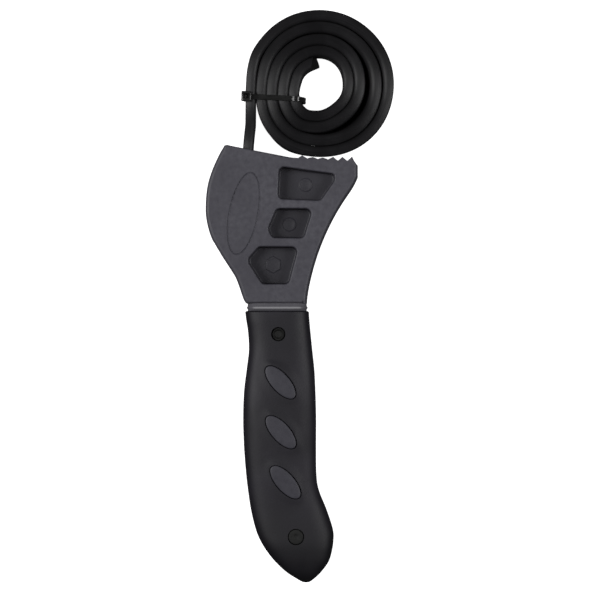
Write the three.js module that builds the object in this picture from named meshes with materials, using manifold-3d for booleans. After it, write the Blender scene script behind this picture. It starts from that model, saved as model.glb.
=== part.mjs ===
// Oil filter strap wrench, lying on its back with its rubber strap rolled up for storage.
// Units are millimetres. +X is right, +Y runs from the butt of the grip towards the strap,
// +Z is up, away from the table. The origin is under the middle of the whole tool.

import * as THREE from 'three';
import { mergeVertices } from 'three/addons/utils/BufferGeometryUtils.js';
import Module from 'manifold-3d';

const wasm = await Module();
wasm.setup();

// ---- Driving dimensions -------------------------------------------------------------------

const HEAD_THICKNESS = 26;
const MID_Z = HEAD_THICKNESS / 2;
const FIT_GAP = 0.3;
const OVERSHOOT = 2; // how far a cutter runs on beyond the face it opens

const STRAP_THICKNESS = 5.2;
const STRAP_WIDTH = 18;
const STRAP_BOTTOM_IN_HEAD = MID_Z - STRAP_WIDTH / 2;
const STRAP_TOP_IN_HEAD = STRAP_BOTTOM_IN_HEAD + STRAP_WIDTH;
const STRAP_PIVOT = [-25.3, 87.0];
const STRAP_SWING_DEG = 60;
const STATION_STEP = 5;

const COIL_CENTRE = [10.1, 107.7];
const COIL_START_RADIUS = 36.64;
const COIL_PITCH = 5.83;
const COIL_FIRST_TURN = 0.07;
const COIL_END_TURN = 4.18;
const COIL_TURN_STEP = 0.04;
const COIL_LIFT = 1.55;

const ANCHOR_CENTRE = [-27.0, 64.5];
const ANCHOR_PIN_RADIUS = 1.5;
const ANCHOR_PIN_ENDS = [0.5, HEAD_THICKNESS - 1.9];
const ANCHOR_HOLE_TOP = HEAD_THICKNESS - 1.5;
const ANCHOR_EYE_RADIUS = 4.2;

const SLOT_GAP = 6.6;
const SLOT_DEPTH = 19;

const HEAD_BEVEL = 1;
const POCKET_DEPTH = 10.5;
const POCKET_CORNER = 2.2;
const BOSS_HEIGHT = 0.55;

const COLLAR = { left: -27.1, right: 3.65, low: -7.0, high: -3.4, inset: 0.8 };

const SLEEVE_WALL_SIDE = 4.5;
const SLEEVE_WALL_FACE = 3.4;
const SECTION_SIDES = 28;
const SECTION_POWER = 3.4;
const TANG_TOP_Y = -5;
const TANG_TIP = [-128, -14.5, 12.5, 10.5];

const PAD_HALF_LENGTH = 11;
const PAD_HALF_WIDTH = 4.75;
const PAD_LEAN_DEG = -48;
const PAD_START = 5; // pads are cut from blocks that begin this far from the middle plane
const PAD_CENTRES = { upper: [-9.8, -43.3], middle: [-9.6, -68.3], lower: [-7.3, -93.5] };

const CROSS_PINS = {
  upper: { centre: [-11.2, -18.8], radius: 3.3, halfLength: 9.3 },
  lower: { centre: [-2.3, -120.7], radius: 3.75, halfLength: 12.1 },
};

const LABEL = { centre: [-28.6, 41.8], halfLength: 20.85, halfWidth: 7.15, leanDeg: 79 };
const GROOVE_WIDTH = 0.7;
const GROOVE_DEPTH = 0.5;

const TIE_WIDTH = 2.6;
const TIE_BAND = 1.2;

// ---- Materials ------------------------------------------------------------------------------

function plastic(color, roughness) {
  return new THREE.MeshStandardMaterial({ color, roughness, metalness: 0 });
}

const nylon = plastic(0x4b4a50, 0.5);
const softGrip = plastic(0x2c2b2f, 0.6);
const padNylon = plastic(0x55545e, 0.5);
const strapRubber = plastic(0x2b2b2c, 0.55);
const tieNylon = plastic(0x141414, 0.35);
const pinNylon = plastic(0x1c1c1e, 0.4);
const steel = new THREE.MeshStandardMaterial({ color: 0x9a9a9c, roughness: 0.35, metalness: 1 });

// ---- Joining and cutting ----------------------------------------------------------------------

function solidFrom(geometry) {
  geometry.deleteAttribute('normal');
  geometry.deleteAttribute('uv');
  const merged = mergeVertices(geometry, 1e-4);
  const vertProperties = new Float32Array(merged.attributes.position.array);
  const triVerts = new Uint32Array(merged.index.array);
  return new wasm.Manifold(new wasm.Mesh({ numProp: 3, vertProperties, triVerts }));
}

function geometryFrom(solid) {
  const mesh = solid.getMesh();
  const geometry = new THREE.BufferGeometry();
  geometry.setAttribute('position', new THREE.BufferAttribute(mesh.vertProperties, 3));
  geometry.setIndex(new THREE.BufferAttribute(mesh.triVerts, 1));
  geometry.computeVertexNormals();
  return geometry;
}

function cutAll(solid, cutters) {
  return cutters.reduce((rest, cutter) => rest.subtract(cutter), solid);
}

function named(name, solid, material) {
  const mesh = new THREE.Mesh(geometryFrom(solid), material);
  mesh.name = name;
  return mesh;
}

// ---- Simple solids ------------------------------------------------------------------------------

function plate(shape, lowZ, highZ, curveSegments = 6, bevel = 0) {
  const geometry = new THREE.ExtrudeGeometry(shape, {
    depth: highZ - lowZ - 2 * bevel,
    curveSegments,
    bevelEnabled: bevel > 0,
    bevelThickness: bevel,
    bevelSize: bevel,
    bevelOffset: -bevel,
    bevelSegments: 2,
  });
  geometry.translate(0, 0, lowZ + bevel);
  return solidFrom(geometry);
}

function postZ(centre, radius, lowZ, highZ, sides = 24) {
  const geometry = new THREE.CylinderGeometry(radius, radius, highZ - lowZ, sides);
  geometry.rotateX(Math.PI / 2);
  geometry.translate(centre[0], centre[1], (lowZ + highZ) / 2);
  return solidFrom(geometry);
}

function polygon(points) {
  return new THREE.Shape(points.map(([x, y]) => new THREE.Vector2(x, y)));
}

function ellipseShape(centre, halfLength, halfWidth, leanDeg) {
  const shape = new THREE.Shape();
  const lean = THREE.MathUtils.degToRad(leanDeg);
  shape.absellipse(centre[0], centre[1], halfLength, halfWidth, 0, 2 * Math.PI, false, lean);
  return shape;
}

// A polygon whose corners are rounded by arcs, smaller ones where a side is short.
const MOST_OF_A_SIDE = 0.45;

function roundedPolygon(corners, radius) {
  const points = corners.map(([x, y]) => new THREE.Vector2(x, y));
  const clockwise = THREE.ShapeUtils.isClockWise(points);
  const shape = new THREE.Shape();
  points.forEach((here, i) => {
    const enter = points.at(i - 1).clone().sub(here);
    const leave = points[(i + 1) % points.length].clone().sub(here);
    const halfAngle = enter.angleTo(leave) / 2;
    const room = MOST_OF_A_SIDE * Math.min(enter.length(), leave.length());
    const reach = Math.min(radius / Math.tan(halfAngle), room);
    enter.setLength(reach);
    leave.setLength(reach);
    const middle = enter.clone().add(leave).setLength(reach / Math.cos(halfAngle));
    enter.sub(middle);
    leave.sub(middle);
    middle.add(here);
    shape.absarc(middle.x, middle.y, enter.length(), enter.angle(), leave.angle(), clockwise);
  });
  shape.closePath();
  return shape;
}

// Joins rings of equal length into one closed body, with a fan over each end.
function closedLoft(rings) {
  const count = rings[0].length;
  const positions = rings.flat().flatMap((point) => [point.x, point.y, point.z]);
  const index = [];
  for (let ring = 0; ring + 1 < rings.length; ring += 1) {
    for (let side = 0; side < count; side += 1) {
      const a = ring * count + side;
      const b = ring * count + ((side + 1) % count);
      index.push(a, b, a + count, b, b + count, a + count);
    }
  }
  const last = (rings.length - 1) * count;
  for (let side = 1; side + 1 < count; side += 1) {
    index.push(0, side + 1, side);
    index.push(last, last + side, last + side + 1);
  }
  const geometry = new THREE.BufferGeometry();
  geometry.setAttribute('position', new THREE.Float32BufferAttribute(positions, 3));
  geometry.setIndex(facesOut(rings, index));
  return solidFrom(geometry);
}

// Turns every triangle round if the body would otherwise be inside out.
function facesOut(rings, index) {
  const points = rings.flat();
  let volume = 0;
  for (let i = 0; i < index.length; i += 3) {
    const [a, b, c] = [points[index[i]], points[index[i + 1]], points[index[i + 2]]];
    volume += a.dot(b.clone().cross(c));
  }
  return volume > 0 ? index : index.toReversed();
}

// A flat band standing on edge along a path. Each station has its place in plan and its bottom.
function ribbon(stations, thickness, width) {
  const rings = stations.map((station, i) => {
    const before = stations[Math.max(i - 1, 0)].place;
    const after = stations[Math.min(i + 1, stations.length - 1)].place;
    const along = after.clone().sub(before).normalize();
    const across = new THREE.Vector2(-along.y, along.x).multiplyScalar(thickness / 2);
    const left = station.place.clone().add(across);
    const right = station.place.clone().sub(across);
    return [
      new THREE.Vector3(left.x, left.y, station.bottom),
      new THREE.Vector3(right.x, right.y, station.bottom),
      new THREE.Vector3(right.x, right.y, station.bottom + width),
      new THREE.Vector3(left.x, left.y, station.bottom + width),
    ];
  });
  return closedLoft(rings);
}

function levelStations(points, bottom) {
  return points.map(([x, y]) => ({ place: new THREE.Vector2(x, y), bottom }));
}

// ---- Head, neck and tang: one nylon moulding ---------------------------------------------------

const HEAD_TOP_LEFT = [[-38.4, 76.4], [-36.6, 76.75]];
const HEAD_TOP_END = [-1.2, 69.8];
const HEAD_RIGHT_CORNER = [[26.8, 69.2], [28.8, 66.9], [29.1, 66.4]];
const HEAD_RIGHT_CURVE = [
  [29.0, 60.0], [26.4, 54.9], [21.0, 46.8], [16.3, 38.65], [12.45, 30.6],
  [9.25, 22.5], [6.7, 14.35], [4.7, 6.2], [3.65, 0.0], [3.35, -3.6],
];
const HEAD_LEFT_CURVE = [
  [-27.2, -3.6], [-28.8, -1.5], [-31.5, 6.2], [-33.3, 10.4], [-37.1, 16.4], [-42.2, 24.4],
  [-45.45, 30.6], [-47.5, 38.0], [-48.05, 45.0], [-47.25, 54.9], [-45.0, 63.0], [-41.4, 71.2],
  [-38.7, 75.9],
];
const TOOTH_PEAKS = [[0.8, 71.1], [6.2, 70.2], [11.2, 70.0], [16.4, 70.35], [21.1, 70.35], [25.9, 70.55]];
const VALLEY_BOTTOMS = [69.5, 69.2, 69.0, 68.5, 68.4];
const VALLEY_FLAT = 0.45;
const VALLEY_EASE = 0.25;
const TOOTH_BAR = 4;

// Sharp-cornered bar along the top edge, which the teeth are cut from.
function toothBar() {
  const last = TOOTH_PEAKS.at(-1);
  const bottom = last[1] - TOOTH_BAR;
  const outline = [HEAD_TOP_END, [HEAD_TOP_END[0], bottom], [last[0], bottom], ...TOOTH_PEAKS.toReversed()];
  return plate(polygon(outline), 0, HEAD_THICKNESS);
}

// Each valley runs from one tooth's peak to the next and has a narrow rounded bottom.
function toothValleys() {
  return VALLEY_BOTTOMS.map((bottom, i) => {
    const [left, right] = [TOOTH_PEAKS[i], TOOTH_PEAKS[i + 1]];
    const middle = (left[0] + right[0]) / 2;
    return plate(polygon([
      left,
      [middle - VALLEY_FLAT, bottom + VALLEY_EASE],
      [middle, bottom],
      [middle + VALLEY_FLAT, bottom + VALLEY_EASE],
      right,
      [right[0], right[1] + OVERSHOOT],
      [left[0], left[1] + OVERSHOOT],
    ]), -OVERSHOOT, HEAD_THICKNESS + OVERSHOOT);
  });
}

function headOutline() {
  const right = new THREE.SplineCurve(HEAD_RIGHT_CURVE.map(([x, y]) => new THREE.Vector2(x, y)));
  const left = new THREE.SplineCurve(HEAD_LEFT_CURVE.map(([x, y]) => new THREE.Vector2(x, y)));
  return new THREE.Shape([
    ...HEAD_TOP_LEFT.map(([x, y]) => new THREE.Vector2(x, y)),
    new THREE.Vector2(...HEAD_TOP_END),
    ...HEAD_RIGHT_CORNER.map(([x, y]) => new THREE.Vector2(x, y)),
    ...right.getPoints(30),
    ...left.getPoints(48),
  ]);
}

const POCKETS = [
  {
    corners: [[-10.9, 65.7], [17.2, 61.8], [17.2, 58.4], [10.2, 48.3], [-11.5, 49.0]],
    boss: { centre: [2.6, 56.6], radius: 3.7, sides: 20 },
  },
  {
    corners: [[-12.1, 44.5], [6.4, 44.4], [1.7, 29.4], [-14.4, 29.6], [-16.5, 34.3]],
    boss: { centre: [-5.6, 36.6], radius: 3.7, sides: 20 },
  },
  {
    corners: [[-21.0, 25.3], [-0.9, 25.2], [-5.9, 6.3], [-19.4, 6.3], [-26.2, 17.1], [-26.1, 19.5]],
    boss: { centre: [-13.8, 16.2], radius: 4.7, sides: 6 },
  },
];

// Pockets sink into both faces and leave a web between them, with a low boss on each floor.
function pocketCutters() {
  const frontFloor = HEAD_THICKNESS - POCKET_DEPTH;
  return POCKETS.flatMap(({ corners, boss }) => {
    const outline = roundedPolygon(corners, POCKET_CORNER);
    const front = plate(outline, frontFloor, HEAD_THICKNESS + OVERSHOOT, 4);
    const back = plate(outline, -OVERSHOOT, POCKET_DEPTH, 4);
    const frontBossTop = frontFloor + BOSS_HEIGHT;
    const backBossTop = POCKET_DEPTH - BOSS_HEIGHT;
    const frontBoss = postZ(boss.centre, boss.radius, frontFloor - 1, frontBossTop, boss.sides);
    const backBoss = postZ(boss.centre, boss.radius, backBossTop, POCKET_DEPTH + 1, boss.sides);
    return [front.subtract(frontBoss), back.subtract(backBoss)];
  });
}

// The strap's free end is pulled through this slot to tighten it: from the top face, past the
// anchor, to the curved left side.
const SLOT_PATH = [[-9.5, 78.0], [-18.5, 60.0], [-50.0, 13.71]];
const ROOT_PATH = [ANCHOR_CENTRE, [-26.3, 74.8], [-26.0, 79.0]];

function slotCutters() {
  const anchorLow = STRAP_BOTTOM_IN_HEAD - FIT_GAP;
  const anchorHigh = anchorLow + STRAP_WIDTH + 2 * FIT_GAP;
  const rootPath = levelStations(ROOT_PATH, anchorLow);
  return [
    ribbon(rootPath, STRAP_THICKNESS + 2 * FIT_GAP, STRAP_WIDTH + 2 * FIT_GAP),
    postZ(ANCHOR_CENTRE, ANCHOR_EYE_RADIUS + FIT_GAP, anchorLow, anchorHigh),
    postZ(ANCHOR_CENTRE, ANCHOR_PIN_RADIUS + FIT_GAP, -OVERSHOOT, ANCHOR_HOLE_TOP, 16),
    ribbon(levelStations(SLOT_PATH, MID_Z - SLOT_DEPTH / 2), SLOT_GAP, SLOT_DEPTH),
  ];
}

// A blank oval on the front face, outlined by a shallow groove.
function labelGroove() {
  const { centre, halfLength, halfWidth, leanDeg } = LABEL;
  const half = GROOVE_WIDTH / 2;
  const outside = ellipseShape(centre, halfLength + half, halfWidth + half, leanDeg);
  const inside = ellipseShape(centre, halfLength - half, halfWidth - half, leanDeg);
  const outer = plate(outside, HEAD_THICKNESS - GROOVE_DEPTH, HEAD_THICKNESS + OVERSHOOT);
  const inner = plate(inside, 0, HEAD_THICKNESS + 2 * OVERSHOOT);
  return outer.subtract(inner);
}

// ---- Grip sections -----------------------------------------------------------------------------

// Each row is y, left edge, right edge and half thickness of the grip's oval section.
const GRIP_ROWS = [
  [-7.2, -28.1, 4.3, 11.4],
  [-12, -27.5, 4.6, 11.8],
  [-18, -26.6, 5.15, 11.8],
  [-27, -26.2, 6.05, 11.9],
  [-37, -27.35, 7.1, 12.4],
  [-48, -28.65, 7.65, 12.8],
  [-62, -29.1, 8.0, 13.0],
  [-77, -28.6, 7.95, 13.0],
  [-90, -27.55, 8.15, 12.7],
  [-98, -26.6, 9.4, 12.4],
  [-108, -25.1, 13.35, 12.3],
  [-118, -22.6, 16.55, 12.7],
  [-124, -20.0, 16.7, 12.9],
  [-129, -16.85, 15.9, 12.5],
  [-134, -12.8, 14.3, 11.5],
  [-139, -7.5, 10.7, 9.6],
  [-142.1, -2.9, 7.6, 7.2],
  [-144.0, 0.2, 5.3, 4.4],
  [-144.6, 1.8, 4.0, 2.4],
];
const TANG_ROWS = [2, 4, 6, 8, 9, 10, 11].map((row) => GRIP_ROWS[row]);

function ovalRing([y, left, right, halfThickness], insetSide, insetFace) {
  const centre = (left + right) / 2;
  const halfWidth = (right - left) / 2 - insetSide;
  const height = halfThickness - insetFace;
  const ring = [];
  for (let side = 0; side < SECTION_SIDES; side += 1) {
    const angle = (2 * Math.PI * side) / SECTION_SIDES;
    const across = Math.sign(Math.cos(angle)) * Math.abs(Math.cos(angle)) ** (2 / SECTION_POWER);
    const up = Math.sign(Math.sin(angle)) * Math.abs(Math.sin(angle)) ** (2 / SECTION_POWER);
    ring.push(new THREE.Vector3(centre + halfWidth * across, y, MID_Z + height * up));
  }
  return ring;
}

function gripBody() {
  return closedLoft(GRIP_ROWS.map((row) => ovalRing(row, 0, 0)));
}

// The tang inside the grip, or with something to spare the cavity that takes it.
function tangBody(spare) {
  const top = [TANG_TOP_Y, ...GRIP_ROWS[1].slice(1)];
  const tip = [TANG_TIP[0] - spare, ...TANG_TIP.slice(1)];
  const rows = [top, ...TANG_ROWS, tip];
  return closedLoft(rows.map((row) => ovalRing(row, SLEEVE_WALL_SIDE - spare, SLEEVE_WALL_FACE - spare)));
}

function pinHoles() {
  return Object.values(CROSS_PINS).map(({ centre, radius }) =>
    postZ(centre, radius + FIT_GAP, -OVERSHOOT, HEAD_THICKNESS + OVERSHOOT));
}

function collarBlock() {
  const { left, right, low, high, inset } = COLLAR;
  const outline = polygon([[left, high], [left, low], [right, low], [right, high]]);
  return plate(outline, inset, HEAD_THICKNESS - inset);
}

function headFrame() {
  const head = plate(headOutline(), 0, HEAD_THICKNESS, 1, HEAD_BEVEL);
  const whole = head.add(toothBar()).add(collarBlock()).add(tangBody(0));
  const cutters = [
    ...toothValleys(), ...pocketCutters(), ...slotCutters(), labelGroove(), ...pinHoles(),
  ];
  return cutAll(whole, cutters);
}

// ---- Grip pieces ---------------------------------------------------------------------------------

const FACES = {
  front: [MID_Z + PAD_START, HEAD_THICKNESS + OVERSHOOT],
  back: [-OVERSHOOT, MID_Z - PAD_START],
};

function padBlock(centre, face, grow) {
  const [low, high] = FACES[face];
  const oval = ellipseShape(centre, PAD_HALF_LENGTH + grow, PAD_HALF_WIDTH + grow, PAD_LEAN_DEG);
  return plate(oval, low, high, 14);
}

function gripSleeve() {
  const windows = [];
  for (const centre of Object.values(PAD_CENTRES)) {
    for (const face of Object.keys(FACES)) windows.push(padBlock(centre, face, FIT_GAP));
  }
  return cutAll(gripBody(), [tangBody(FIT_GAP), ...windows, ...pinHoles()]);
}

function gripPads() {
  const meshes = [];
  for (const [place, centre] of Object.entries(PAD_CENTRES)) {
    for (const face of Object.keys(FACES)) {
      const pad = padBlock(centre, face, 0).intersect(gripBody()).subtract(tangBody(FIT_GAP));
      meshes.push(named(`grip_pad_${place}_${face}`, pad, padNylon));
    }
  }
  return meshes;
}

function crossPins() {
  return Object.entries(CROSS_PINS).map(([place, pin]) => {
    const body = postZ(pin.centre, pin.radius, MID_Z - pin.halfLength, MID_Z + pin.halfLength);
    return named(`cross_pin_${place}`, body, pinNylon);
  });
}

// ---- Strap ---------------------------------------------------------------------------------------

// How the coil departs from an even spiral. Each bulge has its place as a part of a turn, its
// height (negative where it draws in) and its spread, also as a part of a turn.
const COIL_SHIFT = { cos: 0.55, sin: -1.36 };
const COIL_OVAL = { cos: -0.4, sin: -0.46 };
const COIL_SLACK = 1.67;
const SLACK_START = 0.1;
const OUTER_BULGES = [
  [0.17, 0.45, 0.06], [0.35, -0.25, 0.05], [0.47, 0.2, 0.05], [0.6, 0.85, 0.1],
  [0.74, -0.4, 0.055], [0.86, 0.45, 0.06],
];
const INNER_BULGES = [[0.5, -0.75, 0.12], [0.67, -1.1, 0.075], [0.835, 0.9, 0.04]];
const RIGHT_TUCK = [0.45, -0.55, 0.2];
const TIE_SQUEEZE = { outer: 1.2, inner: 0.9, spread: 0.06 };

function bulge([place, height, spread], part) {
  const away = THREE.MathUtils.euclideanModulo(part - place + 0.5, 1) - 0.5;
  return height * Math.exp(-((away / spread) ** 2));
}

function sumOf(bulges, part) {
  return bulges.reduce((sum, each) => sum + bulge(each, part), 0);
}

// The two outer layers stand off the rest, except at the left where the tie holds them.
function slack(turn) {
  const part = turn % 1;
  if (turn >= 2 || part < SLACK_START) return 0;
  return COIL_SLACK * Math.sin((Math.PI * (part - SLACK_START)) / (1 - SLACK_START)) ** 2;
}

// Radius of the strap's middle in the coil. Turn 0 is at the left, and the strap winds inwards,
// clockwise as seen from the front.
function coilRadius(turn) {
  const angle = 2 * Math.PI * turn;
  const part = turn % 1;
  const shift = COIL_SHIFT.cos * Math.cos(angle) + COIL_SHIFT.sin * Math.sin(angle);
  const oval = COIL_OVAL.cos * Math.cos(2 * angle) + COIL_OVAL.sin * Math.sin(2 * angle);
  const inner = THREE.MathUtils.smoothstep(turn, 1.9, 2.1);
  const bulges = THREE.MathUtils.lerp(sumOf(OUTER_BULGES, part), sumOf(INNER_BULGES, part), inner);
  const tuck = bulge(RIGHT_TUCK, part) * THREE.MathUtils.smoothstep(turn, 1.05, 1.3);
  const squeezeDepth = turn < 1.5 ? TIE_SQUEEZE.outer : TIE_SQUEEZE.inner;
  const squeeze = turn > 0.5 ? bulge([0, squeezeDepth, TIE_SQUEEZE.spread], part) : 0;
  const even = COIL_START_RADIUS - COIL_PITCH * turn;
  return even + shift + oval + slack(turn) + bulges + tuck - squeeze;
}

function coilPoint(turn) {
  const angle = Math.PI - 2 * Math.PI * turn;
  const radius = coilRadius(turn);
  return [COIL_CENTRE[0] + radius * Math.cos(angle), COIL_CENTRE[1] + radius * Math.sin(angle)];
}

// The stretch between the head and the coil, then the coil itself.
const STRAP_ROOT_POINTS = [ANCHOR_CENTRE, [-26.4, 74.8], [-26.1, 79.0], [-25.6, 84.0], STRAP_PIVOT];
const STRAP_RISE_POINTS = [[-25.25, 91.0], [-25.2, 96.0], [-25.2, 101.0], [-25.0, 107.0], [-24.3, 115.0]];

function strapRoute() {
  const points = [...STRAP_ROOT_POINTS, ...STRAP_RISE_POINTS];
  const steps = Math.round((COIL_END_TURN - COIL_FIRST_TURN) / COIL_TURN_STEP);
  for (let i = 0; i <= steps; i += 1) {
    points.push(coilPoint(THREE.MathUtils.lerp(COIL_FIRST_TURN, COIL_END_TURN, i / steps)));
  }
  return new THREE.CatmullRomCurve3(points.map(([x, y]) => new THREE.Vector3(x, y, 0)));
}

// The coil lies on the tie's band at its left and sags to the table at its right.
const SAG_START_X = 2;
const SAG_END_X = 44;
const TABLE_GAP = 0.1;
const LEAD_LENGTH = 40;
const DROP_START_Y = 76;
const DROP_END_Y = 98;

function coilBottom(x) {
  const sagged = THREE.MathUtils.mapLinear(x, SAG_START_X, SAG_END_X, COIL_LIFT, TABLE_GAP);
  return THREE.MathUtils.clamp(sagged, TABLE_GAP, COIL_LIFT);
}

function strapBottom(x, y, distance) {
  if (distance > LEAD_LENGTH) return coilBottom(x);
  const drop = THREE.MathUtils.smoothstep(y, DROP_START_Y, DROP_END_Y);
  return THREE.MathUtils.lerp(STRAP_BOTTOM_IN_HEAD, COIL_LIFT, drop);
}

function strapStations() {
  const route = strapRoute();
  const length = route.getLength();
  const count = Math.round(length / STATION_STEP);
  const stations = [];
  for (let i = 0; i <= count; i += 1) {
    const place = route.getPointAt(i / count);
    const bottom = strapBottom(place.x, place.y, (i * length) / count);
    stations.push({ place: new THREE.Vector2(place.x, place.y), bottom });
  }
  return stations;
}

// Cuts a strap end square on its right half and slanting on its left half, so that the coil
// can swing to the left. side is 1 for the end below the pivot and -1 for the one above it.
const HINGE_DIRECTION = [0.04, 1];
const HINGE_SPARE_DEG = 3;
const HINGE_REACH = STRAP_THICKNESS / 2 + 0.9;
const HINGE_LENGTH = 10;

function hingeCutter(side) {
  const pivot = new THREE.Vector2(...STRAP_PIVOT);
  const along = new THREE.Vector2(...HINGE_DIRECTION).normalize();
  const left = new THREE.Vector2(-along.y, along.x);
  const slope = Math.tan(THREE.MathUtils.degToRad(STRAP_SWING_DEG / 2 + HINGE_SPARE_DEG));
  const at = (across, up) => {
    const corner = pivot.clone().addScaledVector(left, across).addScaledVector(along, up * side);
    return [corner.x, corner.y];
  };
  const edge = -FIT_GAP / 2;
  const corners = [
    at(-HINGE_REACH, edge),
    at(0, edge),
    at(HINGE_REACH, edge - HINGE_REACH * slope),
    at(HINGE_REACH, HINGE_LENGTH),
    at(-HINGE_REACH, HINGE_LENGTH),
  ];
  return plate(polygon(corners), -OVERSHOOT, HEAD_THICKNESS + OVERSHOOT);
}

function strapPieces() {
  const stations = strapStations();
  const split = stations.findIndex((station) => station.place.y > STRAP_PIVOT[1]);
  const eye = postZ(ANCHOR_CENTRE, ANCHOR_EYE_RADIUS, STRAP_BOTTOM_IN_HEAD, STRAP_TOP_IN_HEAD);
  const pinHole = postZ(ANCHOR_CENTRE, ANCHOR_PIN_RADIUS + FIT_GAP, 0, HEAD_THICKNESS, 16);
  const rootBand = ribbon(stations.slice(0, split + 1), STRAP_THICKNESS, STRAP_WIDTH);
  const coilBand = ribbon(stations.slice(split - 1), STRAP_THICKNESS, STRAP_WIDTH);
  return [
    named('strap_root', rootBand.add(eye).subtract(pinHole).subtract(hingeCutter(1)), strapRubber),
    named('strap_coil', coilBand.subtract(hingeCutter(-1)), strapRubber),
  ];
}

function anchorPin() {
  const body = postZ(ANCHOR_CENTRE, ANCHOR_PIN_RADIUS, ...ANCHOR_PIN_ENDS, 16);
  return named('anchor_pin', body, steel);
}

// ---- Cable tie that holds the coil -----------------------------------------------------------------

const TIE_CORNER = [-28.1, 101.1];
const TIE_SPAN = 30.3;
const TIE_LEAN_DEG = -3.4;
const TIE_GAP_BELOW = 0.35;
const TIE_GAP_ABOVE = 0.3;
const TIE_HEAD = { width: 4.9, length: 5.0, height: 3.4, overhang: 0.5 };
const TIE_MOUTH = { left: 1.3, right: 3.9, half: 1.2, depth: 2.4 };

function box(low, high) {
  const size = high.map((value, i) => value - low[i]);
  const geometry = new THREE.BoxGeometry(...size);
  geometry.translate(...low.map((value, i) => value + size[i] / 2));
  return solidFrom(geometry);
}

// Made with the band's inner left edge on the Z axis, then leaned and moved into place.
function cableTie() {
  const low = COIL_LIFT - TIE_GAP_BELOW;
  const high = COIL_LIFT + STRAP_WIDTH + TIE_GAP_ABOVE;
  const half = TIE_WIDTH / 2;
  const outer = box([-TIE_BAND, -half, low - TIE_BAND], [TIE_SPAN + TIE_BAND, half, high + TIE_BAND]);
  const inner = box([0, -half - 1, low], [TIE_SPAN, half + 1, high]);
  const headLeft = -TIE_BAND - TIE_HEAD.overhang;
  const headTop = high + TIE_HEAD.height;
  const headHalf = TIE_HEAD.length / 2;
  const head = box([headLeft, -headHalf, high], [headLeft + TIE_HEAD.width, headHalf, headTop]);
  const mouth = box(
    [headLeft + TIE_MOUTH.left, -TIE_MOUTH.half, headTop - TIE_MOUTH.depth],
    [headLeft + TIE_MOUTH.right, TIE_MOUTH.half, headTop + OVERSHOOT],
  );
  const tie = outer.subtract(inner).add(head).subtract(mouth);
  const placed = tie.rotate([0, 0, TIE_LEAN_DEG]).translate([...TIE_CORNER, 0]);
  return named('cable_tie', placed, tieNylon);
}

// ---- The whole tool ----------------------------------------------------------------------------------

const wrench = new THREE.Group();
wrench.add(named('head_frame', headFrame(), nylon));
wrench.add(named('grip_sleeve', gripSleeve(), softGrip));
wrench.add(...gripPads(), ...crossPins());
wrench.add(...strapPieces(), anchorPin(), cableTie());

export default wrench;
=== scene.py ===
import math

import bmesh
import bpy
import numpy as np
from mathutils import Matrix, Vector


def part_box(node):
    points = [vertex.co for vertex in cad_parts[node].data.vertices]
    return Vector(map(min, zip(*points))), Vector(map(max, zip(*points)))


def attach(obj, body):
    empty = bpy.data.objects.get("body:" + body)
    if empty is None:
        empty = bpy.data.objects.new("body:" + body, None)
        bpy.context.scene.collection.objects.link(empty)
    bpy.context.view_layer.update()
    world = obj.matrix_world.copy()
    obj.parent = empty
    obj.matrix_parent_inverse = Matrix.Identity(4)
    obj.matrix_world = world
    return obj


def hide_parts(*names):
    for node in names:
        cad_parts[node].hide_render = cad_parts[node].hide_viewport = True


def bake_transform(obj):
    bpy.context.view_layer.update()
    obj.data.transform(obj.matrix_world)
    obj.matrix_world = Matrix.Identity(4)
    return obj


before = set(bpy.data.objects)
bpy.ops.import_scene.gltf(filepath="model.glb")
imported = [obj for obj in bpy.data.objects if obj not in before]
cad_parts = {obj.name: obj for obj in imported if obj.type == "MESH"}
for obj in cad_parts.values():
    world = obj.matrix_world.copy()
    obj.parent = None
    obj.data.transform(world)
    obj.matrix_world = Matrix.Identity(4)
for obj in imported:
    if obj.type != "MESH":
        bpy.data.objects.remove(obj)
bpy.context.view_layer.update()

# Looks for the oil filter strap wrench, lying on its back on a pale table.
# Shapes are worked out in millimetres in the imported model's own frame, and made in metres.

MM = 0.001
TOOL = "tool"
ROLL = "rolled_strap"

# ---- Sizes, most of which the CAD source also states ----

HEAD_TOP = 26.0
MID_Z = HEAD_TOP / 2
COLLAR_Z = (0.85, HEAD_TOP - 0.85)
SKIN = 0.05                      # most outlines stay this far inside the CAD ones

STRAP_THICKNESS = 5.2
STRAP_WIDTH = 18.0
STRAP_BOTTOM_IN_HEAD = MID_Z - STRAP_WIDTH / 2
# the bare stretch, from the anchor pin to the first turn
STRAP_LEAD = [(-27.0, 64.5), (-26.4, 74.8), (-26.1, 79.0), (-25.6, 84.0), (-25.3, 87.0),
              (-25.25, 91.0), (-25.2, 96.0), (-25.2, 101.0), (-25.0, 107.0), (-24.3, 115.0)]
COIL_CENTRE = (10.1, 107.7)
COIL_START_RADIUS = 36.64
COIL_PITCH = 5.83
COIL_FIRST_TURN = 0.07
COIL_END_TURN = 4.18
COIL_TURN_STEP = 0.04
COIL_LIFT = 1.55                 # height of the coil's underside near the head
COIL_REST = 0.1                  # and on its far side, where it rests on the table
COIL_TILT_X = (2, 44)            # the underside comes down between these places
COIL_SHIFT = (0.55, -1.36)       # cosine and sine parts of the winding's shift off its centre
COIL_OVAL = (-0.4, -0.46)        # and of its oval shape
SLACK = 1.67                     # the two outer layers stand off the third by up to this
SLACK_START = 0.1                # from this part of each turn on
LEAN_OVERLAP = 0.1               # they lean in until they would overlap it by this
LEAN_SHARE = 0.85                # share of the strap's width over which they do
TIE_SQUEEZE = (1.2, 0.9)         # how far the tie pulls in the outer and the inner layers
TIE_SQUEEZE_TURN = 0.06          # over this part of a turn on each side of it
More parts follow.
